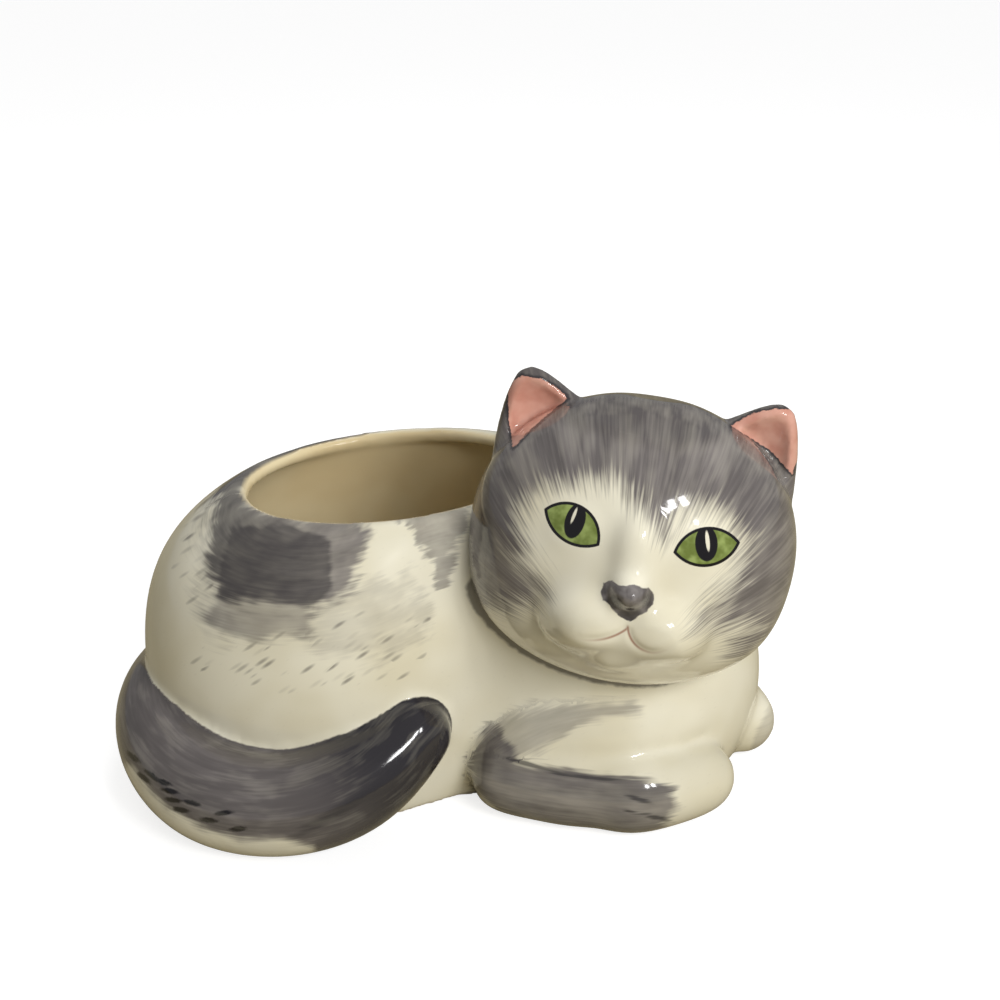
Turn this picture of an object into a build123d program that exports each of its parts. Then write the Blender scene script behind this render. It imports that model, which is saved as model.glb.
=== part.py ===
from build123d import *

import os
from math import atan2, cos, radians, sin, sqrt

# Reclining cat planter: hollow slip-cast earthenware castings luted together and glazed.
# The cat lies along X with its chest towards +X, its right flank towards -Y and its head
# turned to look out over that flank. The origin is on the ground under the middle.

# Whole figure: wall of the castings and the kiln vents from their hollows into the pot
wall = 5.5
neck_vent_diameter = 8
tail_vent_diameter = 5

# Body casting: one open pot in the shape of the lying body
body_length = 240
body_depth = 132
body_shift_along = 1
body_shift_back = 17
base_thickness = 7
foot_ring_width = 10
foot_recess = 2
foot_spread_share = 0.95
rim_height = 118
rim_length = 122
rim_width = 92
rim_shift_along = -22
rim_shift_back = 26
rim_turn = 6
rim_tilt = 3.5
lip_bevel = 1.5

# Plan outline of the body, from the rump round the right flank, the waist and the chest
# to the back, as shares of half the length and half the depth
body_outline_shares = [
    (-0.99, 0.00),
    (-0.85, -0.62),
    (-0.53, -0.92),
    (-0.19, -0.88),
    (0.07, -0.70),
    (0.34, -0.80),
    (0.72, -0.80),
    (0.99, -0.36),
    (0.94, 0.35),
    (0.51, 0.83),
    (0.00, 0.98),
    (-0.59, 0.80),
    (-0.90, 0.45),
]
# Each level's height as a share of the rim's, how far it has turned into the rim's oval,
# and its spread
body_level_shares = [
    (0.00, 0.00, foot_spread_share),
    (0.09, 0.00, 1.00),
    (0.34, 0.00, 1.03),
    (0.64, 0.15, 1.05),
    (0.85, 0.43, 1.03),
    (1.00, 1.00, 1.00),
]

# Head casting: its middle as shares of half the body's length, half its depth and the rim's
# height, and how far it turns to the flank, lifts its face and leans
head_along_share = 0.558
head_across_share = -0.621
head_rise_share = 0.94
head_turn = -7
head_lift = -14
head_lean = 7
# In its own frame X is to the viewer's right, Y to the back and Z up
head_width = 118
head_height = 106
head_depth = 94
# Each level's height, width and depth as shares of the head's
head_level_shares = [
    (-0.99, 0.17, 0.15),
    (-0.95, 0.36, 0.32),
    (-0.82, 0.65, 0.59),
    (-0.56, 0.90, 0.84),
    (-0.20, 1.00, 0.98),
    (0.20, 0.99, 0.98),
    (0.56, 0.85, 0.84),
    (0.82, 0.60, 0.58),
    (0.95, 0.35, 0.32),
    (0.99, 0.17, 0.15),
]
# Mounds of the face: middle, half width and half height, and how far each stands forward
# from a start inside the head
pad_place = (12, -30, -20)
pad_size = (20, 15, 24)
nose_place = (0, -44, -7)
nose_size = (8.5, 7, 16)
bridge_place = (0, -34, 5)
bridge_size = (12, 20, 18)
chin_place = (0, -26, -31)
chin_size = (17, 11, 17)

# Ears, in the head's frame: each section's middle, half width and half depth
ear_lean = 28
ear_places = [(33, 2, 24), (39, 2, 38), (43.5, 1, 47), (46, 0, 53), (47.5, 0, 56)]
ear_half_widths = [25, 18, 11.5, 6.5, 2.5]
ear_half_depths = [10, 8, 6, 4, 2]
ear_full_shares = [1, 1, 1, 1, 1]
ear_hollow_shares = [0.74, 0.72, 0.66, 0.50, 0.20]
ear_hollow_forward = 6

# Limbs: places along each as shares of half the body's length and depth, with their heights
# above the ground and their radii
# Tail, from the rump round the right flank to its tip
tail_shares = [
    (-0.675, 0.682),
    (-0.850, 0.318),
    (-0.942, -0.167),
    (-0.892, -0.621),
    (-0.733, -0.955),
    (-0.500, -1.061),
    (-0.280, -0.985),
    (-0.125, -0.848),
]
tail_heights = [27, 30, 29, 24, 19, 18.5, 26, 38]
tail_radii = [14, 17, 19.5, 20.5, 20, 19.5, 19, 15]

# Right foreleg, folded at the elbow: the forearm along the ground and the upper arm over it
forearm_shares = [(0.183, -0.773), (0.300, -0.848), (0.467, -0.924), (0.650, -0.939), (0.792, -0.818)]
forearm_heights = [15, 15, 15, 15, 14]
forearm_radii = [15, 15.5, 15.5, 15.5, 14]
upper_arm_shares = [(0.200, -0.727), (0.370, -0.705), (0.600, -0.705), (0.800, -0.530)]
upper_arm_heights = [22, 33.5, 37.5, 36]
upper_arm_radii = [15.5, 17.5, 17, 13]

# Left foreleg, whose paw shows past the chest
far_paw_shares = [(0.817, 0.318), (0.933, 0.015), (0.992, -0.227)]
far_paw_heights = [15, 15, 14]
far_paw_radii = [14, 15, 14]

# A limb's end closes over in steps, as shares of its end radius
end_round_shares = [0.50, 0.80, 0.96]


def body_spot(shares, height):
    along_share, across_share = shares
    along = body_shift_along + along_share * body_length / 2
    across = body_shift_back + across_share * body_depth / 2
    return Vector(along, across, height)


def body_plane(height_share, blend_share):
    tilt = radians(rim_tilt * blend_share)
    return Plane(
        origin=(0, 0, rim_height * height_share),
        x_dir=(cos(tilt), 0, sin(tilt)),
        z_dir=(-sin(tilt), 0, cos(tilt)),
    )


def body_outline(blend_share, spread_share, inset=0):
    body_middle = Vector(body_shift_along, body_shift_back)
    rim_middle = Vector(rim_shift_along, rim_shift_back)
    middle = body_middle + (rim_middle - body_middle) * blend_share
    points = []
    for along_share, across_share in body_outline_shares:
        along = along_share * spread_share * body_length / 2
        across = across_share * spread_share * body_depth / 2
        low = body_middle + Vector(along, across)
        angle = atan2(across_share, along_share)
        oval = Vector(cos(angle) * rim_length / 2, sin(angle) * rim_width / 2)
        high = rim_middle + oval.rotate(Axis.Z, rim_turn)
        point = low + (high - low) * blend_share
        points.append(point - (point - middle).normalized() * inset)
    return points


def mound(place, size, side=1):
    across, start, height = place
    half_width, half_height, reach = size
    with BuildPart(mode=Mode.PRIVATE) as form:
        for share in [0] + end_round_shares:
            thin = sqrt(1 - share * share)
            spot = Location((side * across, start - reach * share, height), (90, 0, 0))
            with BuildSketch(Plane(head_place * spot)):
                Ellipse(half_width * thin, half_height * thin)
        loft()
    return form.part


def course_sections(places, radii):
    course = Spline(places, mode=Mode.PRIVATE)
    return [
        (place, course % course.param_at_point(place), radius)
        for place, radius in zip(places, radii)
    ]


def limb(places, radii):
    sections = course_sections(places, radii)
    first_place, first_along, first_radius = sections[0]
    last_place, last_along, last_radius = sections[-1]
    for share in end_round_shares:
        thin = sqrt(1 - share * share)
        before = first_place - first_along * first_radius * share
        after = last_place + last_along * last_radius * share
        sections.insert(0, (before, first_along, first_radius * thin))
        sections.append((after, last_along, last_radius * thin))
    with BuildPart(mode=Mode.PRIVATE) as form:
        for place, along, radius in sections:
            with BuildSketch(Plane(origin=place, x_dir=(0, 0, 1), z_dir=along)):
                Circle(radius)
        loft()
    return form.part


head_spot = body_spot((head_along_share, head_across_share), head_rise_share * rim_height)
head_place = Location(head_spot, (head_turn, head_lift, head_lean), Intrinsic.ZXY)
tail_places = [body_spot(*spot) for spot in zip(tail_shares, tail_heights)]
forearm_places = [body_spot(*spot) for spot in zip(forearm_shares, forearm_heights)]
upper_arm_places = [body_spot(*spot) for spot in zip(upper_arm_shares, upper_arm_heights)]
far_paw_places = [body_spot(*spot) for spot in zip(far_paw_shares, far_paw_heights)]

with BuildPart() as body_form:
    for height_share, blend_share, spread_share in body_level_shares:
        with BuildSketch(body_plane(height_share, blend_share)):
            with BuildLine():
                Spline(body_outline(blend_share, spread_share), periodic=True)
            make_face()
    loft()

with BuildPart() as body_hollow:
    base_share = base_thickness / rim_height
    for height_share, blend_share, spread_share in [(base_share, 0, 1)] + body_level_shares[2:]:
        with BuildSketch(body_plane(height_share, blend_share)):
            with BuildLine():
                Spline(body_outline(blend_share, spread_share, wall), periodic=True)
            make_face()
    loft()


def skull(inset=0):
    with BuildPart(mode=Mode.PRIVATE) as form:
        for height_share, width_share, depth_share in head_level_shares:
            spot = Location((0, 0, height_share * (head_height / 2 - inset)))
            with BuildSketch(Plane(head_place * spot)):
                Ellipse(width_share * head_width / 2 - inset, depth_share * head_depth / 2 - inset)
        loft()
    return form.part


skull_form = skull()
skull_hollow = skull(wall)
right_pad_form = mound(pad_place, pad_size, -1)
left_pad_form = mound(pad_place, pad_size)
nose_form = mound(nose_place, nose_size)
bridge_form = mound(bridge_place, bridge_size)
chin_form = mound(chin_place, chin_size)
with BuildPart() as head_form:
    add(skull_form)
    add(right_pad_form)
    add(left_pad_form)
    add(chin_form)
    add(bridge_form)
    add(nose_form)


def ear(side, shares=ear_full_shares, forward=0):
    with BuildPart(mode=Mode.PRIVATE) as form:
        for place, half_width, half_depth, share in zip(
            ear_places, ear_half_widths, ear_half_depths, shares
        ):
            across, back, height = place
            spot = Location((side * across, back - forward, height), (0, side * ear_lean, 0))
            with BuildSketch(Plane(head_place * spot)):
                Ellipse(half_width * share, half_depth * share)
        loft()
    return form.part


left_ear_form = ear(1)
left_ear_hollow = ear(1, ear_hollow_shares, ear_hollow_forward)
right_ear_form = ear(-1)
right_ear_hollow = ear(-1, ear_hollow_shares, ear_hollow_forward)
tail_form = limb(tail_places, tail_radii)
forearm_form = limb(forearm_places, forearm_radii)
upper_arm_form = limb(upper_arm_places, upper_arm_radii)
far_paw_form = limb(far_paw_places, far_paw_radii)

# The tail's hollow stops short of both ends
with BuildPart() as tail_hollow:
    with BuildLine() as tail_course:
        Spline(tail_places[1:-1])
    for place, along, radius in course_sections(tail_places[1:-1], tail_radii[1:-1]):
        with BuildSketch(Plane(origin=place, x_dir=(0, 0, 1), z_dir=along)):
            Circle(radius - wall)
    sweep(path=tail_course.line, multisection=True)

with BuildPart() as body_pot:
    add(body_form.part)
    add(body_hollow.part, mode=Mode.SUBTRACT)
    chamfer(body_pot.faces().filter_by(GeomType.PLANE).sort_by(Axis.Z)[-1].edges(), lip_bevel)
    with BuildSketch(Plane.XY):
        with BuildLine():
            Spline(body_outline(0, foot_spread_share, foot_ring_width), periodic=True)
        make_face()
    extrude(amount=foot_recess, mode=Mode.SUBTRACT)
    well_middle = Vector(rim_shift_along, rim_shift_back, rim_height / 2)
    tail_vent_spot = tail_places[len(tail_places) // 2]
    for place, diameter in [
        (head_spot, neck_vent_diameter),
        (tail_vent_spot, tail_vent_diameter),
    ]:
        with BuildSketch(Plane(origin=place, z_dir=well_middle - place)):
            Circle(diameter / 2)
        extrude(amount=(well_middle - place).length, mode=Mode.SUBTRACT)

with BuildPart() as head_shell:
    add(head_form.part)
    add(skull_hollow, mode=Mode.SUBTRACT)
    add(body_form.part, mode=Mode.SUBTRACT)

with BuildPart() as left_ear:
    add(left_ear_form)
    add(left_ear_hollow, mode=Mode.SUBTRACT)
    add(head_form.part, mode=Mode.SUBTRACT)

with BuildPart() as right_ear:
    add(right_ear_form)
    add(right_ear_hollow, mode=Mode.SUBTRACT)
    add(head_form.part, mode=Mode.SUBTRACT)

with BuildPart() as tail:
    add(tail_form)
    add(tail_hollow.part, mode=Mode.SUBTRACT)
    split(bisect_by=Plane.XY, keep=Keep.TOP)
    add(body_form.part, mode=Mode.SUBTRACT)

with BuildPart() as right_foreleg:
    add(forearm_form)
    add(upper_arm_form)
    split(bisect_by=Plane.XY, keep=Keep.TOP)
    add(body_form.part, mode=Mode.SUBTRACT)
    add(head_form.part, mode=Mode.SUBTRACT)

with BuildPart() as left_foreleg:
    add(far_paw_form)
    split(bisect_by=Plane.XY, keep=Keep.TOP)
    add(body_form.part, mode=Mode.SUBTRACT)

os.makedirs("parts", exist_ok=True)
for name, piece in {
    "body_pot": body_pot,
    "head_shell": head_shell,
    "left_ear": left_ear,
    "right_ear": right_ear,
    "tail": tail,
    "right_foreleg": right_foreleg,
    "left_foreleg": left_foreleg,
}.items():
    piece.part.label = name
    export_step(piece.part, f"parts/{name}.step")
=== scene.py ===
import math

import bpy
import numpy as np
from mathutils import Matrix, Vector
from mathutils.kdtree import KDTree


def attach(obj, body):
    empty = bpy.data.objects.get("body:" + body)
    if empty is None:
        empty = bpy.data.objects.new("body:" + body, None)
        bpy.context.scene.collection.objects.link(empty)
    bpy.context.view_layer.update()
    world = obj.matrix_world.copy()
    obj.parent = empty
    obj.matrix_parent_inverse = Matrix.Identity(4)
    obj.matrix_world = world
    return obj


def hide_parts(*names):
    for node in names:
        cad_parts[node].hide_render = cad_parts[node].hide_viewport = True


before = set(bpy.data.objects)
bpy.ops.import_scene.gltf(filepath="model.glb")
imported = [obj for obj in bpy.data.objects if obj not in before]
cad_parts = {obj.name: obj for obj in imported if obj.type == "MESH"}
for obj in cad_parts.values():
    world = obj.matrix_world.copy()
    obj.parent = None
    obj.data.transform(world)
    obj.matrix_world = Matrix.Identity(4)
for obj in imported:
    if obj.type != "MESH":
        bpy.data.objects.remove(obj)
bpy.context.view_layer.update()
print("frame loaded")

# the eye that the photograph was taken from, in metres and degrees
view = {
    "place": (0.001, -0.488, 0.3484),
    "pitch": 25.43,  # degrees downward
    "yaw": 2.325,  # degrees towards +X
    "lens": 51.48,
    "sensor": 36.0,
}


def linearColour(hexColour):
    parts = [int(hexColour[i:i + 2], 16) / 255 for i in (1, 3, 5)]
    return [c / 12.92 if c <= 0.04045 else ((c + 0.055) / 1.055) ** 2.4 for c in parts] + [1.0]


def smoothStep(low, high, value):
    t = np.clip((value - low) / (high - low), 0.0, 1.0)
    return t * t * (3 - 2 * t)


def selectOnly(*pieces):
    bpy.ops.object.select_all(action="DESELECT")
    for piece in pieces:
        piece.select_set(True)
    bpy.context.view_layer.objects.active = pieces[0]


def castTogether(name, nodeNames, extras=()):
    # copies of the frame's meshes, welded, as one object
    copies = list(extras)
    for nodeName in nodeNames:
        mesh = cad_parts[nodeName].data.copy()
        piece = bpy.data.objects.new(name, mesh)
        bpy.context.collection.objects.link(piece)
        copies.append(piece)
    selectOnly(*copies)
    bpy.ops.object.join()
    piece = copies[0]
    piece.name = name
    piece.data.name = name
    piece.data.materials.clear()
    bpy.ops.object.mode_set(mode="EDIT")
    bpy.ops.mesh.select_all(action="SELECT")
    bpy.ops.mesh.remove_doubles(threshold=0.000002)
    bpy.ops.object.mode_set(mode="OBJECT")
    return piece


def applyModifier(piece, kind, **settings):
    selectOnly(piece)
    modifier = piece.modifiers.new(kind.lower(), kind)
    for key, value in settings.items():
        setattr(modifier, key, value)
    bpy.ops.object.modifier_apply(modifier=modifier.name)


def places(piece):
    flat = np.zeros(len(piece.data.vertices) * 3)
    piece.data.vertices.foreach_get("co", flat)
    return flat.reshape(-1, 3)


def directions(piece):
    flat = np.zeros(len(piece.data.vertices) * 3)
    piece.data.vertices.foreach_get("normal", flat)
    return flat.reshape(-1, 3)


def setPlaces(piece, points):
    piece.data.vertices.foreach_set("co", points.ravel())
    piece.data.update()


def keepNumber(piece, name, values):
    layer = piece.data.attributes.new(name, "FLOAT", "POINT")
    layer.data.foreach_set("value", np.asarray(values, np.float32))


def keepVector(piece, name, values):
    layer = piece.data.attributes.new(name, "FLOAT_VECTOR", "POINT")
    layer.data.foreach_set("vector", np.asarray(values, np.float32).ravel())


def spread(piece, values, rounds):
    # evens out a value over the mesh, each point taking the mean of its neighbours
    ends = np.zeros(len(piece.data.edges) * 2, np.int32)
    piece.data.edges.foreach_get("vertices", ends)
    a, b = ends.reshape(-1, 2).T
    count = np.bincount(a, minlength=len(values)) + np.bincount(b, minlength=len(values))
    for _ in range(rounds):
        total = np.bincount(a, values[b], len(values)) + np.bincount(b, values[a], len(values))
        values = 0.5 * values + 0.5 * total / np.maximum(count, 1)
    return values


weightSteps = 60  # fine enough to leave no terraces


def softenWhere(piece, name, weights, rounds):
    group = piece.vertex_groups.new(name=name)
    for step in range(1, weightSteps + 1):
        chosen = np.nonzero(np.round(weights * weightSteps) == step)[0]
        group.add(chosen.tolist(), step / weightSteps, "REPLACE")
    applyModifier(piece, "SMOOTH", factor=0.5, iterations=rounds, vertex_group=name)
    piece.vertex_groups.clear()


# the painter's front view: where a point shows in the photograph, in thousandths of its width
viewTurn = Matrix.Rotation(math.radians(-view["yaw"]), 3, "Z") @ Matrix.Rotation(
    math.radians(90 - view["pitch"]), 3, "X")
viewAxes = np.array(viewTurn)


def frontPlaces(points):
    seen = (points - np.array(view["place"])) @ viewAxes
    reach = 1000 * view["lens"] / view["sensor"] / -seen[:, 2]
    return np.stack([500 + seen[:, 0] * reach, 500 + seen[:, 1] * reach, 0 * reach], 1)


def frontFacing(points, normals):
    towards = np.array(view["place"]) - points
    towards /= np.linalg.norm(towards, axis=1)[:, None]
    return (normals * towards).sum(1)


def spot(across, down):
    return (across, 1000 - down, 0)


def awayFrom(front, middle):
    return np.linalg.norm(front[:, :2] - np.array(spot(*middle)[:2]), axis=1)


def insideShape(front, corners):
    # signed distance into a shape drawn on the front view, positive inside
    shape = np.array([spot(*corner)[:2] for corner in corners], float)
    best = np.full(len(front), np.inf)
    inside = np.zeros(len(front), bool)
    for a, b in zip(shape, np.roll(shape, -1, axis=0)):
        run = b - a
        t = np.clip(((front[:, :2] - a) @ run) / (run @ run), 0, 1)
        best = np.minimum(best, np.linalg.norm(front[:, :2] - a - t[:, None] * run, axis=1))
        crosses = (a[1] > front[:, 1]) != (b[1] > front[:, 1])
        with np.errstate(divide="ignore", invalid="ignore"):
            edge = a[0] + (front[:, 1] - a[1]) * run[0] / run[1]
        inside ^= crosses & (front[:, 0] < edge)
    return np.where(inside, best, -best)


# glazed head: the head casting and both ears, softened as one glazed skin
headLook = {
    "voxel": 0.0010,
    "softRounds": 8,
    "place": (0.068, -0.024, 0.1109),
    "turn": (-14, 7, -7),  # degrees about its X, Y and Z
    "eyeBulge": 0.0009,  # heights and depths in metres, reaches in thousandths of the front view
    "eyeReach": 27,
    "socket": 0.0012,
    "socketReach": 46,
    "lipGroove": 0.0006,
    "lipReach": 4,
    "crest": 0.0010,
    "crestReach": 9,
    "cheek": 0.0022,
    "cheekMiddle": (548, 606),
    "cheekReach": 38,
    "crestFrom": (560, 600),  # across the crown, each from none to full
    "crestTo": (745, 700),
    "facing": (0.1, 0.4),  # the forms fade out where the skin turns away
}
# face softened further: forward, aside and up in mm, each from none to full
softFace = {
    "jowl": {"forward": (4, 18), "aside": (50, 40), "up": (4, -6), "rounds": 60},
    "muzzle": {"forward": (18, 32), "aside": (36, 24), "up": (24, 14), "rounds": 90},
}
softChin = {"middle": (644, 664), "reach": (40, 18), "rounds": 220}  # on the front view
crestLine = [(540, 410), (594, 424), (630, 436), (665, 443), (700, 441), (760, 428)]  # between the ears
head = castTogether("glazedHead", ["head_shell", "left_ear", "right_ear"])
applyModifier(head, "REMESH", mode="VOXEL", voxel_size=headLook["voxel"])
applyModifier(head, "SMOOTH", factor=0.5, iterations=headLook["softRounds"])

headTurn = (Matrix.Rotation(math.radians(headLook["turn"][2]), 3, "Z")
            @ Matrix.Rotation(math.radians(headLook["turn"][0]), 3, "X")
            @ Matrix.Rotation(math.radians(headLook["turn"][1]), 3, "Y"))
headAxes = np.array(headTurn)


def headPlaces(points):
    return (points - np.array(headLook["place"])) @ headAxes * 1000  # mm in the head's own frame


inHead = headPlaces(places(head))
for name, area in softFace.items():
    weights = smoothStep(*area["forward"], -inHead[:, 1]) * smoothStep(*area["aside"], np.abs(inHead[:, 0]))
    weights *= smoothStep(*area["up"], inHead[:, 2])
    softenWhere(head, name, weights, area["rounds"])
weights = smoothStep(*softChin["reach"], awayFrom(frontPlaces(places(head)), softChin["middle"]))
weights *= frontFacing(places(head), directions(head)) > 0
softenWhere(head, "chin", weights, softChin["rounds"])

# painted eyes on the front view: middle, half length, rise of the upper and lower lid, slope
eyes = {
    "right": {"middle": (571.8, 527.0), "half": 31.4, "upper": 22.0, "lower": 15.0, "slope": -33.9},
    "left": {"middle": (706.7, 547.4), "half": 32.1, "upper": 19.0, "lower": 18.0, "slope": 8.7},
}
mouth = {
    "middle": (626.4, 627.5),
    "rightLine": ((591.0, 579.4), 61.0),  # centre and radius of each lip line
    "leftLine": ((654.6, 626.0), 26.8),
    "width": 1.3,
    "grooveFade": (60, 30),  # distances from the middle, from none to full
    "lineFade": (52.0, 12.0),
}


def aboveCrest(front):
    return np.interp(front[:, 0], *np.array(crestLine, float).T) - (1000 - front[:, 1])


def soften(points):
    normals = directions(head)
    front = frontPlaces(points)
    facing = smoothStep(*headLook["facing"], frontFacing(points, normals))
    move = np.zeros(len(points))
    for eye in eyes.values():
        away = awayFrom(front, eye["middle"])
        move -= headLook["socket"] * np.exp(-(away / headLook["socketReach"]) ** 2)
        move += headLook["eyeBulge"] * np.exp(-(away / headLook["eyeReach"]) ** 4)
    away = awayFrom(front, headLook["cheekMiddle"])
    move -= headLook["cheek"] * np.exp(-(away / headLook["cheekReach"]) ** 2)
    fade = smoothStep(*mouth["grooveFade"], awayFrom(front, mouth["middle"]))
    for side, line in ((-1, mouth["rightLine"]), (1, mouth["leftLine"])):
        centre = np.array(spot(*line[0])[:2])
        away = np.abs(np.linalg.norm(front[:, :2] - centre, axis=1) - line[1])
        below = smoothStep(0, 4, centre[1] - front[:, 1])
        beside = smoothStep(-2, 2, side * (front[:, 0] - mouth["middle"][0]))
        groove = np.exp(-(away / headLook["lipReach"]) ** 2) * below * beside * fade
        move -= headLook["lipGroove"] * groove
    onCrown = smoothStep(*headLook["crestFrom"], front[:, 0])
    onCrown *= smoothStep(*headLook["crestTo"], front[:, 0])
    move += headLook["crest"] * np.exp(-(aboveCrest(front) / headLook["crestReach"]) ** 2) * onCrown
    return points + normals * (move * facing)[:, None]


setPlaces(head, soften(places(head)))
print("head formed", len(head.data.polygons))

# glazed body: pot, tail and forelegs under one glaze
bodyLook = {
    "voxel": 0.00168,
    "softRounds": 5,
    "middle": 0.017,  # the plane that the far haunch's paint is mirrored in
}
# places softened further, in mm, each from none to full
softBody = {
    "fold": {"reach": (9, 2), "forward": (78, 40)},
    "chest": {"reach": (7, 1), "up": (34, 44), "side": -5},
    "foldRounds": 40,
    "root": (30, 20),
    "rootRounds": 60,
    "flat": 0.98,  # skin as level as this is the foot and stays
}
# the mouth's oval and its lip, in mm and degrees, as cast
well = {
    "middle": (-22, 26), "half": (61, 46), "height": 118, "turn": 6, "tilt": 3.5,
    "lip": 3.0, "steps": 96,
    "lining": 3.0, "liningUp": (70, 100),
    "reach": 1.35, "wallFoot": 6, "facing": (-0.1, -0.5),
    "floorMiddle": (1, 17), "floorHalf": (112, 60), "floorUp": (4, 20), "floorFacing": 0.7,
    "evenRounds": 10, "evenEdge": (0.3, 0.7),
}


def lipBead():
    # the glaze-rounded lip: a bead on the rim's oval, as thick as the wall
    curve = bpy.data.curves.new("lipBead", "CURVE")
    curve.dimensions = "3D"
    curve.bevel_depth = well["lip"] / 1000
    curve.bevel_resolution = 4
    ring = curve.splines.new("POLY")
    ring.points.add(well["steps"] - 1)
    ring.use_cyclic_u = True
    turned = Matrix.Rotation(math.radians(well["turn"]), 3, "Z")
    leaned = Matrix.Rotation(math.radians(-well["tilt"]), 3, "Y")
    for i, point in enumerate(ring.points):
        angle = 2 * math.pi * i / well["steps"]
        oval = Vector((math.cos(angle) * (well["half"][0] - well["lip"]),
                       math.sin(angle) * (well["half"][1] - well["lip"]), 0))
        place = leaned @ (turned @ oval + Vector((*well["middle"], 0)))
        point.co = (*((place + Vector((0, 0, well["height"] - well["lip"]))) / 1000), 1)
    bead = bpy.data.objects.new("lipBead", curve)
    bpy.context.collection.objects.link(bead)
    selectOnly(bead)
    bpy.ops.object.convert(target="MESH")
    return bead


def shoulderLining():
    # the pot again with its shoulder let down inside itself, so that the wall stays thick up to the mouth
    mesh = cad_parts["body_pot"].data.copy()
    lining = bpy.data.objects.new("shoulderLining", mesh)
    bpy.context.collection.objects.link(lining)
    points = places(lining)
    down = well["lining"] * smoothStep(*well["liningUp"], points[:, 2] * 1000)
    points[:, 2] -= down / 1000
    setPlaces(lining, points)
    return lining


bodyNodes = ["body_pot", "tail", "right_foreleg", "left_foreleg"]
body = castTogether("glazedBody", bodyNodes, [lipBead(), shoulderLining()])
applyModifier(body, "REMESH", mode="VOXEL", voxel_size=bodyLook["voxel"])
applyModifier(body, "SMOOTH", factor=0.5, iterations=bodyLook["softRounds"])
print("body formed", len(body.data.polygons))

# courses of the tail and the folded foreleg, in mm, as cast; skin is how far off it the limb's strokes
# reach, and lane keeps the noise of the limbs apart
limbs = {
    "tail": {
        "places": [(-80, 62, 27), (-101, 38, 30), (-112, 6, 29), (-106, -24, 24), (-87, -46, 19),
                   (-59, -53, 18.5), (-32.6, -48, 26), (-14, -39, 38)],
        "radii": [14, 17, 19.5, 20.5, 20, 19.5, 19, 15],
        "skin": 1.5, "lane": 40,
    },
    "forearm": {
        "places": [(23, -34, 15), (37, -39, 15), (57, -44, 15), (79, -45, 15), (96, -37, 14)],
        "radii": [15, 15.5, 15.5, 15.5, 14],
        "skin": 2.0, "lane": 90,
    },
    "upperArm": {
        "places": [(25, -31, 22), (45.4, -29.5, 33.5), (73, -29.5, 37.5), (97, -18, 36)],
        "radii": [15.5, 17.5, 17, 13],
        "skin": 2.0, "lane": 90,
    },
}


def gapTo(piece, points):
    # distance from each point to the nearest one of a piece, in mm
    tree = KDTree(len(piece.data.vertices))
    for i, vertex in enumerate(piece.data.vertices):
        tree.insert(vertex.co, i)
    tree.balance()
    return np.array([tree.find(p)[2] for p in points]) * 1000


def alongLimb(points, limb):
    # nearest place on the limb's course: length along it, angle round it, distance past its skin
    joints = np.array(limb["places"], float)
    ends = np.concatenate([2 * joints[:1] - joints[1:2], joints, 2 * joints[-1:] - joints[-2:-1]])
    line, radii = [], []
    for i in range(len(joints) - 1):
        a, b, c, d = ends[i:i + 4]
        for t in np.linspace(0, 1, 12, endpoint=i == len(joints) - 2):
            line.append(0.5 * (2 * b + (c - a) * t + (2 * a - 5 * b + 4 * c - d) * t ** 2
                               + (3 * b - a - 3 * c + d) * t ** 3))
            radii.append(limb["radii"][i] * (1 - t) + limb["radii"][i + 1] * t)
    line, radii = np.array(line), np.array(radii)
    lengths = np.concatenate([[0], np.cumsum(np.linalg.norm(np.diff(line, axis=0), axis=1))])
    tree = KDTree(len(line))
    for i, place in enumerate(line):
        tree.insert(place, i)
    tree.balance()
    nearest = np.array([tree.find(p)[1] for p in points])
    runs = np.gradient(line, axis=0)
    runs /= np.linalg.norm(runs, axis=1)[:, None]
    offset = points - line[nearest]
    along = (offset * runs[nearest]).sum(1)
    flat = offset - along[:, None] * runs[nearest]
    sideways = np.cross(runs[nearest], (0, 0, 1))
    sideways /= np.linalg.norm(sideways, axis=1)[:, None]
    angle = np.arctan2(flat[:, 2], (flat * sideways).sum(1))
    return (lengths[nearest] + along, angle * radii[nearest],
            np.linalg.norm(offset, axis=1) - radii[nearest], lengths[-1])


# soften the fold between upper arm and forearm, the chest above them and the tail's root
mm = places(body) * 1000
normals = directions(body)
upperPast = alongLimb(mm, limbs["upperArm"])[2]
forePast = alongLimb(mm, limbs["forearm"])[2]
area = softBody["fold"]
fold = smoothStep(*area["reach"], upperPast) * smoothStep(*area["reach"], forePast)
fold *= smoothStep(*area["forward"], mm[:, 0])
area = softBody["chest"]
chest = smoothStep(*area["reach"], np.abs(upperPast)) * smoothStep(*area["up"], mm[:, 2])
chest *= mm[:, 1] < area["side"]
softenWhere(body, "fold", np.maximum(fold, chest), softBody["foldRounds"])
fromRoot = np.linalg.norm(mm - limbs["tail"]["places"][0], axis=1)
tailRoot = smoothStep(*softBody["root"], fromRoot) * (np.abs(normals[:, 2]) < softBody["flat"])
softenWhere(body, "tailRoot", tailRoot, softBody["rootRounds"])
print("body softened")

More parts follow.
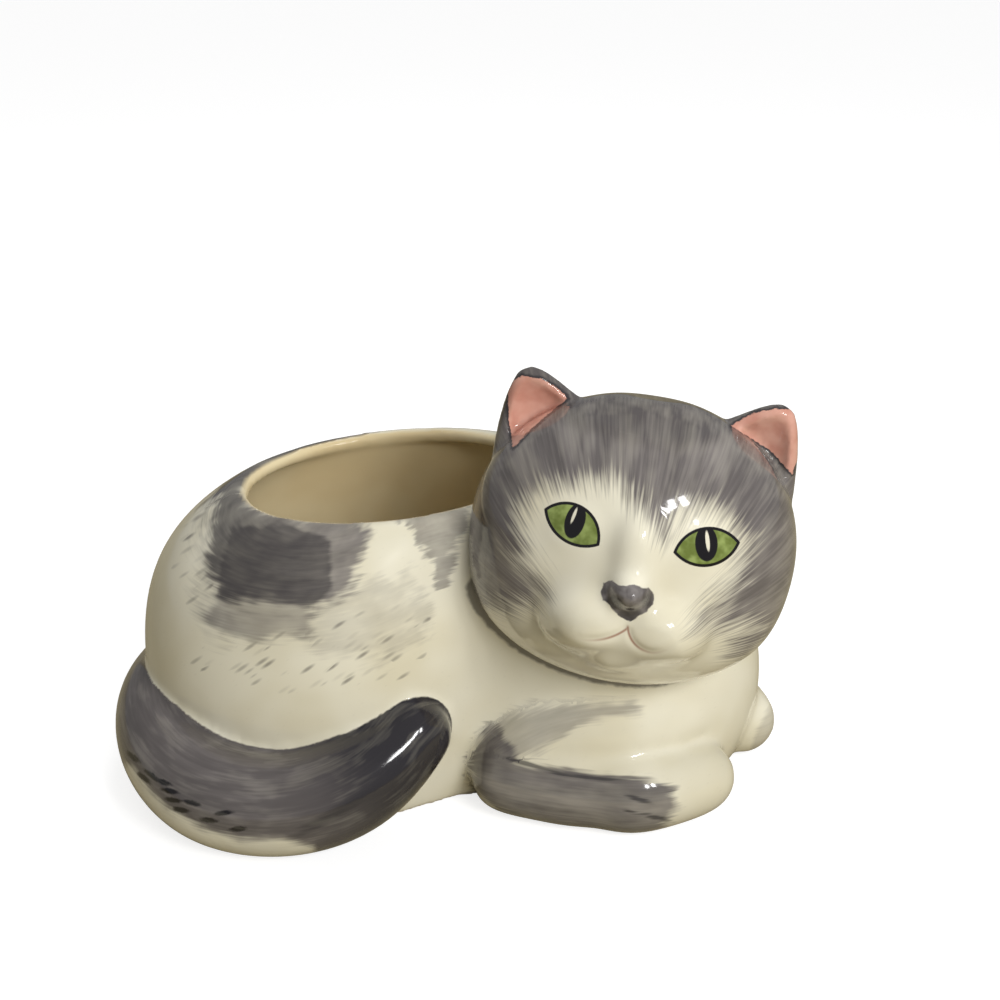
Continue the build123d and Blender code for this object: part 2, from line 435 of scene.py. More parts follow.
# where the paint lies: sizes in mm, shapes and distances in thousandths of the front view
paint = {
    "facing": 0.02,  # skin turned away further than this is hidden from the eye
    "hidden": -60,  # distance that hidden skin is given to a shape
    "noSeam": 8,
    "seamFade": (92, 105),  # the seam's colour runs out up the neck
    "seamSide": 10,
    "creamUp": 22,  # height of the cream under the tail's far side
    "creamEnd": 150,
    "tip": (60, 5),  # dark end of the tail, back from its tip
    "strokeMiddle": (-20, 17),
    "strokeRadius": 80,
    "strokeWave": 6,
    "seamInside": 0.3,
    "shown": (-0.02, 0.06),
    "creamSharp": 3,
    "tailSkin": (-3, 6),
    "footUp": (1.6, 0.9),
    "footFacing": (-0.5, -0.8),
}

# paint of the body: where the washes lie and which way the brush went
points = places(body)
normals = directions(body)
front = frontPlaces(points)
facing = frontFacing(points, normals)
mm = points * 1000
bodyShapes = {
    "haunch": [(238, 470), (246, 500), (300, 514), (362, 520), (366, 545), (352, 588), (319, 611),
               (222, 597), (212, 570), (204, 532), (214, 497)],
    "haunchLap": [(231, 528), (290, 524), (330, 540), (332, 588), (312, 610), (217, 596), (222, 560)],
    "lower": [(214, 580), (313, 592), (312, 634), (260, 640), (220, 637), (207, 620)],
    "rimPatch": [(397, 510), (470, 505), (462, 532), (452, 562), (448, 592), (438, 588), (429, 556),
                 (413, 532)],
    "fore": [(490, 718), (478, 745), (468, 764), (470, 790), (495, 812), (539, 830), (614, 845), (652, 840),
             (668, 822), (679, 803), (674, 791), (656, 784), (607, 776), (546, 768), (516, 759), (509, 742)],
    "upper": [(492, 738), (500, 716), (534, 705), (572, 703), (632, 702), (636, 709), (609, 716), (576, 723),
              (562, 740), (539, 757), (512, 757)],
    "dabsLow": [(196, 640), (320, 626), (410, 596), (436, 625), (420, 672), (340, 700), (240, 690),
                (190, 662)],
    "dabsLeft": [(168, 560), (188, 505), (214, 470), (224, 500), (210, 600), (196, 640), (176, 610)],
    "smear": [(318, 604), (360, 585), (404, 580), (428, 604), (420, 640), (372, 662), (322, 652),
              (300, 630)],
    "smearLeft": [(197, 520), (212, 492), (228, 530), (224, 596), (226, 640), (206, 634), (198, 580)],
    "farPaw": [(752, 748), (755, 733), (771, 704), (782, 719), (770, 744), (758, 751)],
}
creamTail = [(100, 760), (131, 768), (147, 785), (167, 808), (200, 828), (240, 839), (283, 838), (312, 846),
             (322, 862), (300, 910), (200, 910), (100, 850)]
# the far haunch, which the photograph hides, mirrors the near one
haunchShapes = ("haunch", "haunchLap", "lower", "dabsLow", "dabsLeft", "smear", "smearLeft")
behind = points[:, 1] > bodyLook["middle"]
flipped = np.where(behind[:, None], points * (1, -1, 1) + (0, 2 * bodyLook["middle"], 0), points)
flippedFront = frontPlaces(flipped)
flippedFacing = frontFacing(flipped, np.where(behind[:, None], normals * (1, -1, 1), normals))
for name, corners in bodyShapes.items():
    onHaunch = name in haunchShapes
    inShape = insideShape(flippedFront if onHaunch else front, corners)
    shownThere = (flippedFacing if onHaunch else facing) > paint["facing"]
    keepNumber(body, name, np.where(shownThere, inShape, paint["hidden"]))

# strokes go round the body, and along each limb
around = np.arctan2(mm[:, 1] - paint["strokeMiddle"][1], mm[:, 0] - paint["strokeMiddle"][0])
upward = mm[:, 2] + paint["strokeWave"] * np.sin(around * 2)
stroke = np.stack([around * paint["strokeRadius"], upward, 0 * around], 1)
courses = {name: alongLimb(mm, limb) for name, limb in limbs.items()}
laid = np.zeros(len(mm), bool)
for name, (along, turn, past, _) in courses.items():
    onLimb = (past < limbs[name]["skin"]) & ~laid
    stroke[onLimb] = np.stack([along, turn, 0 * along + limbs[name]["lane"]], 1)[onLimb]
    laid |= onLimb
tailAlong, _, tailPast, tailLength = courses["tail"]
underside = np.minimum((paint["creamUp"] - mm[:, 2]) * paint["creamSharp"], paint["creamEnd"] - tailAlong)
cream = np.where(facing > paint["facing"], insideShape(front, creamTail), underside)
keepNumber(body, "cream", np.clip(cream, paint["hidden"], -paint["hidden"]))
keepNumber(body, "tailPast", np.clip(tailPast, *paint["tailSkin"]))
keepNumber(body, "tailStart", tailAlong)
tipStart, tipFull = (tailLength - back for back in paint["tip"])
keepNumber(body, "tailTip", smoothStep(tipStart, tipFull, tailAlong))

# the well: every wall that faces its axis, and its floor, with an even edge along the lip
aside = mm[:, :2] - well["middle"]
onWall = (np.linalg.norm(aside / well["half"], axis=1) < well["reach"]) & (mm[:, 2] > well["wallFoot"])
inward = (normals[:, :2] * aside).sum(1) / np.maximum(np.linalg.norm(aside, axis=1), 1)
inside = np.where(onWall, smoothStep(*well["facing"], inward), 0)
floorLow, floorHigh = well["floorUp"]
onFloor = np.linalg.norm((mm[:, :2] - well["floorMiddle"]) / well["floorHalf"], axis=1) < 1
onFloor &= (normals[:, 2] > well["floorFacing"]) & (mm[:, 2] > floorLow) & (mm[:, 2] < floorHigh)
inside = np.where(onFloor, 1, inside)
inside = smoothStep(*well["evenEdge"], spread(body, inside, well["evenRounds"]))
bare = smoothStep(*paint["footUp"], mm[:, 2]) * smoothStep(*paint["footFacing"], normals[:, 2])

keepVector(body, "frontMap", front)
keepVector(body, "haunchMap", flippedFront)
keepVector(body, "strokeMap", stroke)
keepNumber(body, "inside", inside)
keepNumber(body, "shown", smoothStep(*paint["shown"], facing))
seam = np.clip(gapTo(head, points), 0, paint["noSeam"])
seam += paint["noSeam"] * smoothStep(*paint["seamFade"], mm[:, 2])
unseen = (mm[:, 1] > paint["seamSide"]) | (facing < paint["facing"]) | (inside > paint["seamInside"])
keepNumber(body, "seam", np.where(unseen, paint["noSeam"], seam))
keepNumber(body, "bare", bare)

# paint of the head, in mm of the head's own frame
headPaint = {
    "noseReach": 20,
    "pinkReach": 30,
    "nape": -30,  # height that the grey comes down to behind
    "napeSharp": 2.0,
    "chin": -34,  # height that the strokes fan out from
    "fan": 60,
    "backFrom": -20,  # depth behind which the strokes run on over the crown
    "backRun": 0.9,
    "crown": (-14, 4),
    "crownBack": (20, 40),
    "crownDeep": 0.36,
    "edge": (0.3, 0.0),  # painted shade: darker where the skin turns away
    "edgeShadeDeep": 0.45,
    "face": (-0.05, 0.15),
    "faceDepth": (-20, -26),
}
points = places(head)
normals = directions(head)
front = frontPlaces(points)
inHead = headPlaces(points)
whiteFace = [(516, 512), (530, 496), (548, 486), (566, 481), (590, 478), (612, 480), (632, 490), (648, 510),
             (661, 533), (674, 518), (688, 504), (710, 504), (731, 518), (748, 535), (743, 560), (740, 579),
             (722, 598), (700, 617), (698, 629), (727, 623), (743, 621), (757, 626), (731, 642), (729, 653),
             (749, 657), (774, 640), (800, 660), (800, 730), (450, 730), (450, 640), (490, 606), (521, 605),
             (542, 595), (536, 579), (523, 560), (516, 533)]
noseShape = [(601, 592), (604, 583), (612, 580), (618, 585), (626, 586), (634, 584), (642, 588), (649, 588),
             (654, 594), (653, 604), (646, 612), (638, 617), (630, 622), (622, 618), (615, 612), (609, 605),
             (603, 600)]
seen = frontFacing(points, normals)
noseReach = headPaint["noseReach"]
keepNumber(head, "nose", np.clip(insideShape(front, noseShape), -noseReach, noseReach))
keepNumber(head, "shown", smoothStep(*paint["shown"], seen))
aboveNape = (inHead[:, 2] - headPaint["nape"]) * headPaint["napeSharp"]
edge = np.where(seen > paint["facing"], -insideShape(front, whiteFace), aboveNape)
keepNumber(head, "grey", np.clip(edge, paint["hidden"], -paint["hidden"]))
# brush strokes fan out from the chin and run over the crown to the back
upChin = inHead[:, 2] - headPaint["chin"]
onBack = np.maximum(inHead[:, 1] - headPaint["backFrom"], 0)
reach = np.hypot(inHead[:, 0], upChin) + headPaint["backRun"] * onBack
turned = np.arctan2(inHead[:, 0], upChin)
stroke = np.stack([reach, turned * headPaint["fan"], 0 * turned], 1)
earPinks = {
    "right": [(508, 392), (513, 381), (522, 376), (542, 379), (557, 388), (568, 398), (548, 414), (530, 430),
              (513, 448), (509, 420)],
    "left": [(731, 426), (753, 413), (776, 409), (800, 409), (807, 425), (802, 448), (792, 474), (770, 450)],
}
pink = np.maximum(insideShape(front, earPinks["right"]), insideShape(front, earPinks["left"]))
pinkReach = headPaint["pinkReach"]
keepNumber(head, "pink", np.where(seen > 0, np.clip(pink, -pinkReach, pinkReach), -pinkReach))
keepVector(head, "frontMap", front)
keepVector(head, "strokeMap", stroke)
crown = np.where(seen > 0, smoothStep(*headPaint["crown"], aboveCrest(front)),
                 smoothStep(*headPaint["crownBack"], inHead[:, 2]))
# painted shade: the grey deepens towards the edges that turn away from the eye
paintedEdgeShade = headPaint["edgeShadeDeep"] * smoothStep(*headPaint["edge"], seen)
keepNumber(head, "deep", np.maximum(headPaint["crownDeep"] * crown, paintedEdgeShade))
seam = np.clip(gapTo(body, points), 0, paint["noSeam"])
keepNumber(head, "seam", np.where(seen < paint["facing"], paint["noSeam"], seam))
onFace = smoothStep(*headPaint["face"], seen) * smoothStep(*headPaint["faceDepth"], inHead[:, 1])
keepNumber(head, "face", onFace)
print("paint laid out")


def addNode(tree, kind, inputs=None, **settings):
    made = tree.nodes.new(kind)
    for key, value in settings.items():
        setattr(made, key, value)
    for key, value in (inputs or {}).items():
        if isinstance(value, bpy.types.NodeSocket):
            tree.links.new(value, made.inputs[key])
        else:
            made.inputs[key].default_value = value
    return made


def sums(tree, operation, first, second=0.0, third=0.0):
    return addNode(tree, "ShaderNodeMath", {0: first, 1: second, 2: third}, operation=operation).outputs[0]


def ramp(tree, value, low, high, fromZero=0.0, toOne=1.0):
    made = addNode(tree, "ShaderNodeMapRange", {
        "Value": value, "From Min": low, "From Max": high, "To Min": fromZero, "To Max": toOne},
        interpolation_type="SMOOTHSTEP")
    return made.outputs["Result"]


def blendColour(tree, share, under, over):
    return addNode(tree, "ShaderNodeMix", {0: share, 6: under, 7: over}, data_type="RGBA").outputs[2]


def kept(tree, name, output="Fac"):
    return addNode(tree, "ShaderNodeAttribute", attribute_name=name).outputs[output]


def stretched(tree, vector, along, across, **settings):
    # brush hairs: noise drawn out along the stroke, sizes in mm
    scaled = addNode(tree, "ShaderNodeVectorMath", {0: vector, 1: (1 / along, 1 / across, 1)},
                     operation="MULTIPLY")
    noise = {"Vector": scaled.outputs[0], "Scale": 1.0, "Detail": 3.0, "Roughness": 0.6}
    noise.update(settings)
    return addNode(tree, "ShaderNodeTexNoise", noise).outputs["Fac"]


def grain(tree, size, detail=2.0):
    # even noise with grains of a size in metres
    coords = addNode(tree, "ShaderNodeTexCoord").outputs["Object"]
    noise = addNode(tree, "ShaderNodeTexNoise", {"Vector": coords, "Scale": 1 / size, "Detail": detail})
    return noise.outputs["Fac"]


def mottled(tree, size, first, second, low=0.3):
    # two tints in soft patches of a size in metres
    return blendColour(tree, ramp(tree, grain(tree, size), low, 0.7), tint[first], tint[second])


def between(tree, vector, centre):
    away = addNode(tree, "ShaderNodeVectorMath", {0: vector, 1: centre}, operation="DISTANCE")
    return away.outputs["Value"]


def discDistance(tree, vector, centre, radius):
    return sums(tree, "SUBTRACT", between(tree, vector, centre), radius)


def ovalDistance(tree, vector, centre, size, turn=0.0):
    made = addNode(tree, "ShaderNodeMapping", {
        "Vector": vector, "Location": centre, "Rotation": (0, 0, math.radians(turn)),
        "Scale": (size[0], size[1], 1)}, vector_type="TEXTURE")
    away = addNode(tree, "ShaderNodeVectorMath", {0: made.outputs[0]}, operation="LENGTH").outputs["Value"]
    return sums(tree, "MULTIPLY", sums(tree, "SUBTRACT", away, 1.0), min(size))


glaze = {
    "ivory": "#e6e1cd",
    "ivoryWarm": "#dcd5bc",
    "greyThin": "#7e7876",
    "greyFull": "#585352",
    "greyDeep": "#2c2a2e",
    "line": "#141216",
    "pink": "#d6a391",
    "pinkDeep": "#c58b79",
    "well": "#dac69a",
    "wellLight": "#e2d2aa",
    "iris": "#697736",
    "irisLight": "#95a55f",
    "lip": "#a5816f",
    "noseLight": "#7f7a78",
    "biscuit": "#cfc3a8",
}
tint = {key: linearColour(value) for key, value in glaze.items()}


def glazedMaterial(name):
    material = bpy.data.materials.new(name)
    material.use_nodes = True
    tree = material.node_tree
    tree.nodes.clear()
    return material, tree


def centred(tree, value, strength):
    return sums(tree, "MULTIPLY", sums(tree, "SUBTRACT", value, 0.5), strength)


# marks of the brush: length and width in mm, grains in metres
brushMarks = {
    "water": (20.0, 8.0),
    "broad": (34.0, 5.0),
    "hairLength": 16.0,
    "speckle": 0.0016,
    "ground": 0.035,
}
gloss = {"ripple": 0.014, "strength": 0.05, "depth": 0.002, "ior": 1.5, "coat": 0.4, "coatRough": 0.03}
glossRough = 0.10
bareRough = 0.85
seamLook = {"grain": 0.0035, "push": 1.6, "strength": 0.8}


class Brush:
    # one painter's brush: hair marks, broad pressure, pooled water and the ivory ground;
    # dry is the share of a wash's edge that single hairs draw, comb how far they show in the colour
    def __init__(self, tree, hair, dry, comb):
        self.tree = tree
        self.dry = dry
        self.comb = comb
        self.stroke = kept(tree, "strokeMap", "Vector")
        self.water = ramp(tree, stretched(tree, self.stroke, *brushMarks["water"], Detail=2.0), 0.3, 0.7)
        self.front = kept(tree, "frontMap", "Vector")
        hairs = stretched(tree, self.stroke, brushMarks["hairLength"], hair, Detail=2.5, Roughness=0.5)
        self.hairs = ramp(tree, hairs, 0.25, 0.75)
        self.broad = ramp(tree, stretched(tree, self.stroke, *brushMarks["broad"], Detail=2.0), 0.3, 0.7)
        self.speckle = grain(tree, brushMarks["speckle"], 3.0)
        self.ground = mottled(tree, brushMarks["ground"], "ivory", "ivoryWarm", 0.35)

    def grey(self, deep):
        # thin to full pigment with the brush's pressure, blackened by depth
        tree = self.tree
        load = sums(tree, "ADD", centred(tree, self.broad, 0.4), centred(tree, self.hairs, self.comb))
        load = sums(tree, "ADD", load, sums(tree, "ADD", centred(tree, self.water, 0.25), deep))
        grey = blendColour(tree, ramp(tree, load, -0.6, 0.6), tint["greyThin"], tint["greyFull"])
        dark = sums(tree, "ADD", deep, centred(tree, self.hairs, 0.5 * self.comb))
        return blendColour(tree, ramp(tree, dark, 0.25, 1.0), grey, tint["greyDeep"])

    def cover(self, distance, feather, soft, strength):
        # a wash's edge, pushed in and out by hairs and water
        tree = self.tree
        pushed = sums(tree, "ADD", distance, centred(tree, self.hairs, feather * self.dry))
        pushed = sums(tree, "ADD", pushed, centred(tree, self.water, feather * (1 - self.dry)))
        thin = sums(tree, "ADD", centred(tree, self.hairs, 0.4 * self.comb), strength)
        thin = sums(tree, "ADD", centred(tree, self.water, 0.12), thin)
        edge = ramp(tree, pushed, -soft, soft)
        share = addNode(tree, "ShaderNodeMath", {0: edge, 1: thin}, operation="MULTIPLY", use_clamp=True)
        return share.outputs[0]


def finishGlaze(tree, colour, roughness):
    # clear gloss with a faint ripple, as a dipped glaze dries
    wobble = addNode(tree, "ShaderNodeBump", {
        "Height": grain(tree, gloss["ripple"], 1.0), "Strength": gloss["strength"],
        "Distance": gloss["depth"]})
    shader = addNode(tree, "ShaderNodeBsdfPrincipled", {
        "Base Color": colour, "Roughness": roughness, "IOR": gloss["ior"], "Normal": wobble.outputs[0],
        "Coat Weight": gloss["coat"], "Coat Roughness": gloss["coatRough"]})
    output = addNode(tree, "ShaderNodeOutputMaterial")
    tree.links.new(shader.outputs[0], output.inputs["Surface"])


def seamLine(tree, colour, reach):
    # grey colour caught in the joint under the jaw
    push = seamLook["push"]
    line = sums(tree, "ADD", kept(tree, "seam"), centred(tree, grain(tree, seamLook["grain"]), push))
    share = sums(tree, "MULTIPLY", ramp(tree, line, reach, reach - push), seamLook["strength"])
    return blendColour(tree, share, colour, tint["greyFull"])


# body glaze: grey underglaze washes and dabs, a plain beige well and a wiped, bare foot
bodyMaterial, tree = glazedMaterial("paintedGlazeBody")
brush = Brush(tree, hair=1.1, dry=0.4, comb=0.13)
colour = brush.ground
haunchMap = kept(tree, "haunchMap", "Vector")
shown = kept(tree, "shown")
acrossHaunch = addNode(tree, "ShaderNodeSeparateXYZ", {0: haunchMap}).outputs[0]
shadeLeftward = ramp(tree, acrossHaunch, 350, 215, -0.15, 0.62)  # painted shade: the patch darkens to the left, where the haunch turns from the light
washes = (  # shape, feather and softness of its edge, strength, darkness
    ("smear", 34, 14, 0.20, 0.0),
    ("smearLeft", 26, 12, 0.32, 0.1),
    ("lower", 14, 7, 0.62, 0.0),
    ("haunch", 20, 8, 0.86, shadeLeftward),
    ("haunchLap", 5, 3, 0.72, 0.66),
    ("rimPatch", 16, 4, 0.62, 0.0),
    ("farPaw", 4, 3, 0.35, 0.0),
    ("upper", 16, 7, 0.48, 0.0),
    ("fore", 15, 6, 0.88, 0.12),
)
for name, feather, soft, strength, deep in washes:
    share = brush.cover(kept(tree, name), feather, soft, strength)
    colour = blendColour(tree, share, colour, brush.grey(deep))

# short dabs below and behind the haunch patch, leaning with the fur
dabs = {
    "slope": 34, "size": (27, 6.5, 1), "randomness": 0.9, "share": 0.7,
    "edge": (-8, 10), "grow": (0.0, 0.3, 0.0, 0.32), "soft": (-0.10, 0.26), "strength": (0.10, 0.65),
}
tilted = addNode(tree, "ShaderNodeMapping", {
    "Vector": haunchMap, "Rotation": (0, 0, math.radians(dabs["slope"])), "Scale": dabs["size"]},
    vector_type="TEXTURE")
cells = addNode(tree, "ShaderNodeTexVoronoi", {
    "Vector": tilted.outputs[0], "Scale": 1.0, "Randomness": dabs["randomness"]}, voronoi_dimensions="2D")
luck = addNode(tree, "ShaderNodeSeparateColor", {0: cells.outputs["Color"]})
band = ramp(tree, sums(tree, "MAXIMUM", kept(tree, "dabsLow"), kept(tree, "dabsLeft")), *dabs["edge"])
room = sums(tree, "SUBTRACT", sums(tree, "MULTIPLY", band, dabs["share"]), luck.outputs[0])
size = ramp(tree, room, *dabs["grow"])
dab = ramp(tree, sums(tree, "SUBTRACT", size, cells.outputs["Distance"]), *dabs["soft"])
dab = sums(tree, "MULTIPLY", dab, ramp(tree, luck.outputs[1], 0.0, 1.0, *dabs["strength"]))
colour = blendColour(tree, dab, colour, tint["greyFull"])

# tail: brushed dark along its length, blackest at the tip, with a painted shade streak along its side, a
# cream underside and black dabs
tailGrey = brush.grey(sums(tree, "MULTIPLY_ADD", kept(tree, "tailTip"), 0.75, 0.26))
# painted shade: a dark streak where the tail's side turns under
tailShadeStreak = {"middle": (352, 803), "half": (58, 5), "slope": 30}
shadeStreak = ovalDistance(tree, brush.front, spot(*tailShadeStreak["middle"]), tailShadeStreak["half"], tailShadeStreak["slope"])
shadeStreak = ramp(tree, sums(tree, "ADD", shadeStreak, centred(tree, brush.hairs, 5.0)), 4.0, -4.0)
tailGrey = blendColour(tree, sums(tree, "MULTIPLY", shadeStreak, 0.75), tailGrey, tint["greyDeep"])
unpainted = brush.cover(kept(tree, "cream"), 8, 5, 0.95)
tailColour = blendColour(tree, unpainted, tailGrey, brush.ground)
tailDabs = (  # place and slope
    (133, 757, -40), (144, 778, -42), (151, 775, -36), (163, 782, -20), (170, 791, -12), (173, 800, -10),
    (181, 810, -12), (192, 803, -14), (209, 820, -8), (224, 813, 6), (238, 829, 2))
dabHalf = (8.0, 2.4)
for across, down, slope in tailDabs:
    away = ovalDistance(tree, brush.front, spot(across, down), dabHalf, slope)
    mark = ramp(tree, sums(tree, "ADD", away, centred(tree, brush.speckle, 2.0)), 1.2, -0.8)
    tailColour = blendColour(tree, sums(tree, "MULTIPLY", mark, shown), tailColour, tint["line"])
tailEdge = sums(tree, "ADD", kept(tree, "tailPast"), centred(tree, brush.speckle, 0.5))
fromRoot = brush.cover(kept(tree, "tailStart"), 16, 9, 1.0)
onTail = sums(tree, "MULTIPLY", ramp(tree, tailEdge, 1.5, 0.9), fromRoot)
colour = blendColour(tree, onTail, colour, tailColour)

# dark strokes on the toes and along the top of the near foreleg
toeStrokes = (  # middle, half sizes and slope
    ((638, 799), (11, 2.2), -18), ((658, 818), (14, 2.2), -14), ((629, 811), (7, 1.8), -14),
    ((588, 777), (32, 2.4), -7), ((528, 764), (24, 2.2), -15))
for middle, size, slope in toeStrokes:
    away = ovalDistance(tree, brush.front, spot(*middle), size, slope)
    mark = ramp(tree, sums(tree, "ADD", away, centred(tree, brush.hairs, 2.5)), 1.5, -1.5)
    mark = sums(tree, "MULTIPLY", mark, shown)
    colour = blendColour(tree, sums(tree, "MULTIPLY", mark, 0.75), colour, tint["greyDeep"])

colour = seamLine(tree, colour, 4.3)
colour = blendColour(tree, kept(tree, "inside"), colour, mottled(tree, 0.03, "well", "wellLight"))
colour = blendColour(tree, kept(tree, "bare"), colour, tint["biscuit"])
finishGlaze(tree, colour, ramp(tree, kept(tree, "bare"), 0.0, 1.0, glossRough, bareRough))
body.data.materials.append(bodyMaterial)

# head glaze: the same washes, with painted eyes and their painted highlights, nose, lips, pink ears and
# painted shade at the turned-away edges
headMaterial, tree = glazedMaterial("paintedGlazeHead")
brush = Brush(tree, hair=0.9, dry=0.7, comb=0.20)
front = brush.front
face = kept(tree, "face")
greyShare = brush.cover(sums(tree, "ADD", kept(tree, "grey"), 2.0), 28, 18, 0.95)
# the head's deep grey holds painted shade at the edges turned from the eye
colour = blendColour(tree, greyShare, brush.ground, brush.grey(kept(tree, "deep")))
pinkEdge = sums(tree, "ADD", kept(tree, "pink"), centred(tree, brush.speckle, 4.0))
earEdge = sums(tree, "MULTIPLY", ramp(tree, pinkEdge, -4.0, -1.0), 0.85)
colour = blendColour(tree, earEdge, colour, tint["greyDeep"])
pinkColour = mottled(tree, 0.007, "pink", "pinkDeep")
colour = blendColour(tree, ramp(tree, pinkEdge, -0.6, 0.6), colour, pinkColour)
colour = seamLine(tree, colour, 4.4)
cheekStrip = {"middle": (484, 530), "half": (9, 27), "slope": 4}
strip = ovalDistance(tree, front, spot(*cheekStrip["middle"]), cheekStrip["half"], cheekStrip["slope"])
strip = ramp(tree, sums(tree, "ADD", strip, centred(tree, brush.hairs, 5.0)), 3.0, -5.0)
strip = sums(tree, "MULTIPLY", sums(tree, "MULTIPLY", strip, kept(tree, "shown")), 0.6)
colour = blendColour(tree, strip, colour, tint["greyDeep"])

nose = sums(tree, "ADD", kept(tree, "nose"), centred(tree, grain(tree, 0.0018), 3.0))
noseMask = sums(tree, "MULTIPLY", ramp(tree, nose, -0.8, 0.8), face)
noseColour = mottled(tree, 0.004, "noseLight", "greyFull")
nostrils = (((613, 603), (8, 7)), ((630, 616), (13, 7)), ((648, 601), (5, 7)))  # middle and half sizes
for middle, size in nostrils:
    dark = ramp(tree, ovalDistance(tree, front, spot(*middle), size), 3.0, -2.5)
    noseColour = blendColour(tree, sums(tree, "MULTIPLY", dark, 0.7), noseColour, tint["greyDeep"])
colour = blendColour(tree, noseMask, colour, noseColour)

fade = between(tree, front, spot(*mouth["middle"]))
across = addNode(tree, "ShaderNodeSeparateXYZ", {0: front})
for side, line in ((-1, mouth["rightLine"]), (1, mouth["leftLine"])):
    away = sums(tree, "ABSOLUTE", discDistance(tree, front, spot(*line[0]), line[1]))
    stripe = ramp(tree, away, mouth["width"] * 1.6, 0.0)
    beside = sums(tree, "MULTIPLY", sums(tree, "SUBTRACT", across.outputs[0], mouth["middle"][0]), side)
    stripe = sums(tree, "MULTIPLY", stripe, ramp(tree, beside, -1.5, 0.5))
    below = sums(tree, "SUBTRACT", spot(*line[0])[1], across.outputs[1])
    stripe = sums(tree, "MULTIPLY", stripe, ramp(tree, below, -2.0, 2.0))
    stripe = sums(tree, "MULTIPLY", stripe, ramp(tree, fade, *mouth["lineFade"]))
    stripe = sums(tree, "MULTIPLY", stripe, face)
    colour = blendColour(tree, stripe, colour, tint["lip"])

pupils = {"right": ((575.0, 521.0), (10.0, 18.0), -17), "left": ((706.4, 543.6), (11.3, 17.8), 2)}
# painted highlights: a white glint on each iris, standing in for the window's reflection
paintedHighlights = {"right": ((574.0, 515.5), (1.5, 8.0), -22), "left": ((707.6, 541.0), (2.0, 10.0), 6)}
for key, eye in eyes.items():
    slope = math.radians(eye["slope"])
    middle = Vector(spot(*eye["middle"]))
    upward = Vector((-math.sin(slope), math.cos(slope), 0))
    lids = []
    for rise, way in ((eye["upper"], 1), (eye["lower"], -1)):
        radius = (eye["half"] ** 2 + rise ** 2) / (2 * rise)
        lids.append(discDistance(tree, front, middle + upward * way * (rise - radius), radius))
    almond = sums(tree, "MAXIMUM", lids[0], lids[1])
    irisColour = mottled(tree, 0.004, "iris", "irisLight", 0.35)
    pupil = ramp(tree, ovalDistance(tree, front, spot(*pupils[key][0]), *pupils[key][1:]), 0.5, -0.5)
    irisColour = blendColour(tree, pupil, irisColour, tint["line"])
    paintedHighlight = ramp(tree, ovalDistance(tree, front, spot(*paintedHighlights[key][0]), *paintedHighlights[key][1:]), 0.4, -0.4)
    irisColour = blendColour(tree, paintedHighlight, irisColour, tint["ivory"])
    inEye = sums(tree, "MULTIPLY", ramp(tree, almond, 0.4, -0.4), face)
    colour = blendColour(tree, inEye, colour, irisColour)
    border = ramp(tree, sums(tree, "ABSOLUTE", almond), 1.9, 1.1)
    colour = blendColour(tree, sums(tree, "MULTIPLY", border, face), colour, tint["line"])
finishGlaze(tree, colour, glossRough)
head.data.materials.append(headMaterial)

for piece, nodeNames, slotName in (
        (body, ("body_pot", "tail", "right_foreleg", "left_foreleg"), "body_glaze"),
        (head, ("head_shell", "left_ear", "right_ear"), "head_glaze")):
    selectOnly(piece)
    bpy.ops.object.shade_smooth()
    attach(piece, "root")
    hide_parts(*nodeNames)
print("pieces glazed")

# pale floor: white to the eye, a warm grey table to the light that bounces off it
floorLook = {"size": 14, "table": "#a49a7e", "sheet": "#b4b4b4", "lift": 0.75}
plainWhite = (1, 1, 1, 1)
bpy.ops.mesh.primitive_plane_add(size=floorLook["size"], location=(0, 0, 0))
floor = bpy.context.object
floor.name = "floor"
floorMaterial, tree = glazedMaterial("paleFloor")
rays = addNode(tree, "ShaderNodeLightPath")
table = addNode(tree, "ShaderNodeBsdfDiffuse", {"Color": linearColour(floorLook["table"])})
sheet = addNode(tree, "ShaderNodeBsdfDiffuse", {"Color": linearColour(floorLook["sheet"])})
lift = addNode(tree, "ShaderNodeEmission", {"Color": plainWhite, "Strength": floorLook["lift"]})
white = addNode(tree, "ShaderNodeAddShader", {0: sheet.outputs[0], 1: lift.outputs[0]})
mixed = addNode(tree, "ShaderNodeMixShader", {
    0: rays.outputs["Is Camera Ray"], 1: table.outputs[0], 2: white.outputs[0]})
floorOutput = addNode(tree, "ShaderNodeOutputMaterial")
tree.links.new(mixed.outputs[0], floorOutput.inputs["Surface"])
floor.data.materials.append(floorMaterial)

# soft even light from the room, dim where the glaze mirrors it
roomLight = {"ambient": 0.18, "mirrored": 0.22, "backdrop": 1.0}
world = bpy.data.worlds.new("studio")
bpy.context.scene.world = world
world.use_nodes = True
tree = world.node_tree
tree.nodes.clear()
rays = addNode(tree, "ShaderNodeLightPath")
ambient, mirrored, backdrop = (
    addNode(tree, "ShaderNodeBackground", {"Color": plainWhite, "Strength": strength})
    for strength in roomLight.values())
lit = addNode(tree, "ShaderNodeMixShader", {
    0: rays.outputs["Is Glossy Ray"], 1: ambient.outputs[0], 2: mirrored.outputs[0]})
mixed = addNode(tree, "ShaderNodeMixShader", {
    0: rays.outputs["Is Camera Ray"], 1: lit.outputs[0], 2: backdrop.outputs[0]})
worldOutput = addNode(tree, "ShaderNodeOutputWorld")
tree.links.new(mixed.outputs[0], worldOutput.inputs["Surface"])

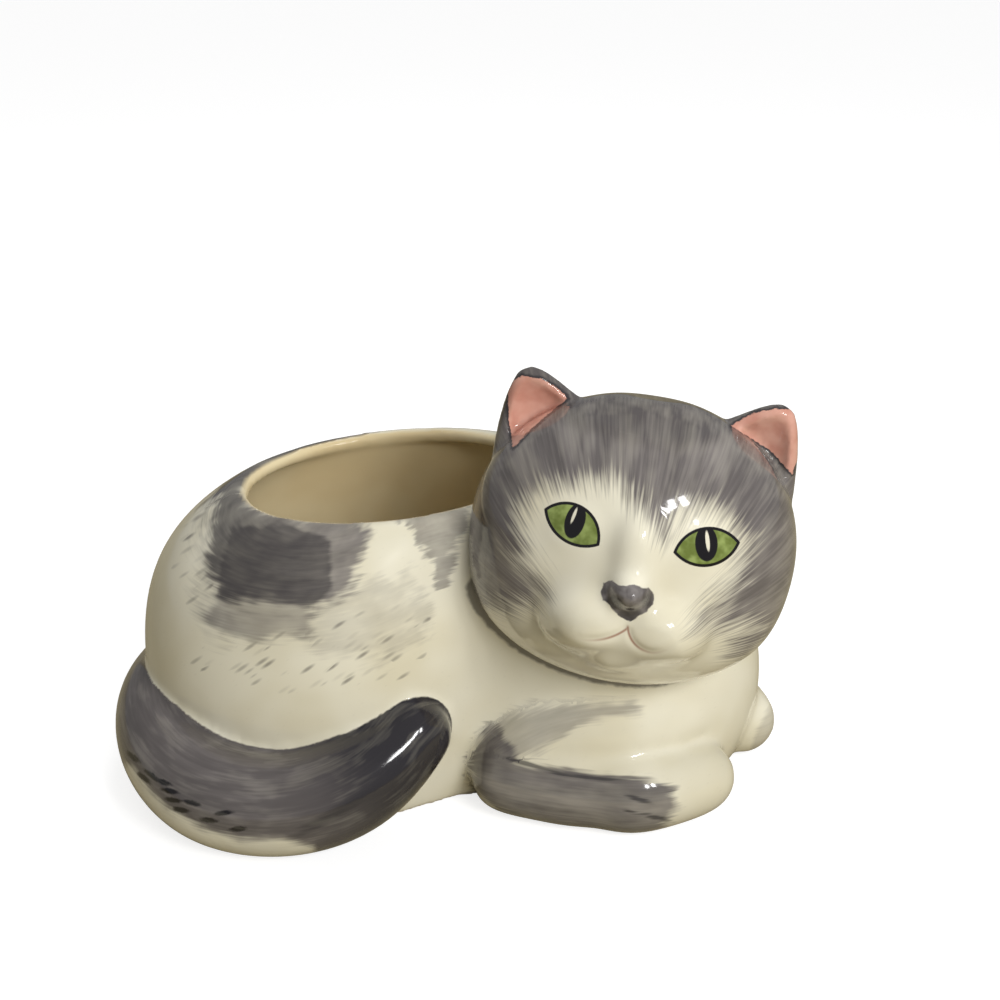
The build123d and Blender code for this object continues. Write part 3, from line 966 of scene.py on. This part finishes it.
# a broad light from the right of the eye, a faint one behind, a ceiling lamp and, for the gloss,
# a window of two panes
lamps = {
    "key": {"kind": "SUN", "place": (0.40, -0.76, 0.50), "aim": (0, 0, 0),
            "size": 0.7, "power": 1.0, "mirrored": False},
    "fill": {"kind": "SUN", "place": (-0.35, 0.75, 0.55), "aim": (0, 0, 0),
             "size": 1.0, "power": 0.7, "mirrored": False},
    "softbox": {"kind": "AREA", "place": (0.36, -0.58, 0.50), "aim": (0.03, 0, 0.1),
                "size": 0.3, "tall": 0.3, "power": 2.2, "mirrored": False},
    "leftPane": {"kind": "AREA", "place": (0.42, -0.79, 0.74), "aim": (0.02, 0, 0.08),
                 "size": 0.07, "tall": 0.16, "power": 0.9, "mirrored": True},
    "rightPane": {"kind": "AREA", "place": (0.53, -0.72, 0.74), "aim": (0.02, 0, 0.08),
                  "size": 0.07, "tall": 0.16, "power": 0.9, "mirrored": True},
    "ceiling": {"kind": "AREA", "place": (0.18, 0.26, 1.25), "aim": (0, 0, 0.1),
                "size": 0.5, "tall": 0.3, "power": 5.0, "mirrored": False},
}
for name, lamp in lamps.items():
    data = bpy.data.lights.new(name, lamp["kind"])
    if lamp["kind"] == "SUN":
        data.angle = lamp["size"]
    else:
        data.shape = "RECTANGLE"
        data.size = lamp["size"]
        data.size_y = lamp["tall"]
    data.energy = lamp["power"]
    light = bpy.data.objects.new(name, data)
    bpy.context.collection.objects.link(light)
    light.location = lamp["place"]
    light.rotation_euler = (Vector(lamp["aim"]) - Vector(lamp["place"])).to_track_quat("-Z", "Y").to_euler()
    light.visible_glossy = lamp["mirrored"]

cameraData = bpy.data.cameras.new("photoEye")
cameraData.lens = view["lens"]
cameraData.sensor_width = view["sensor"]
camera = bpy.data.objects.new("photoEye", cameraData)
bpy.context.collection.objects.link(camera)
camera.location = view["place"]
camera.rotation_euler = (math.radians(90 - view["pitch"]), 0, math.radians(-view["yaw"]))
bpy.context.scene.camera = camera
bpy.context.scene.view_settings.view_transform = "Standard"
print("stage set")
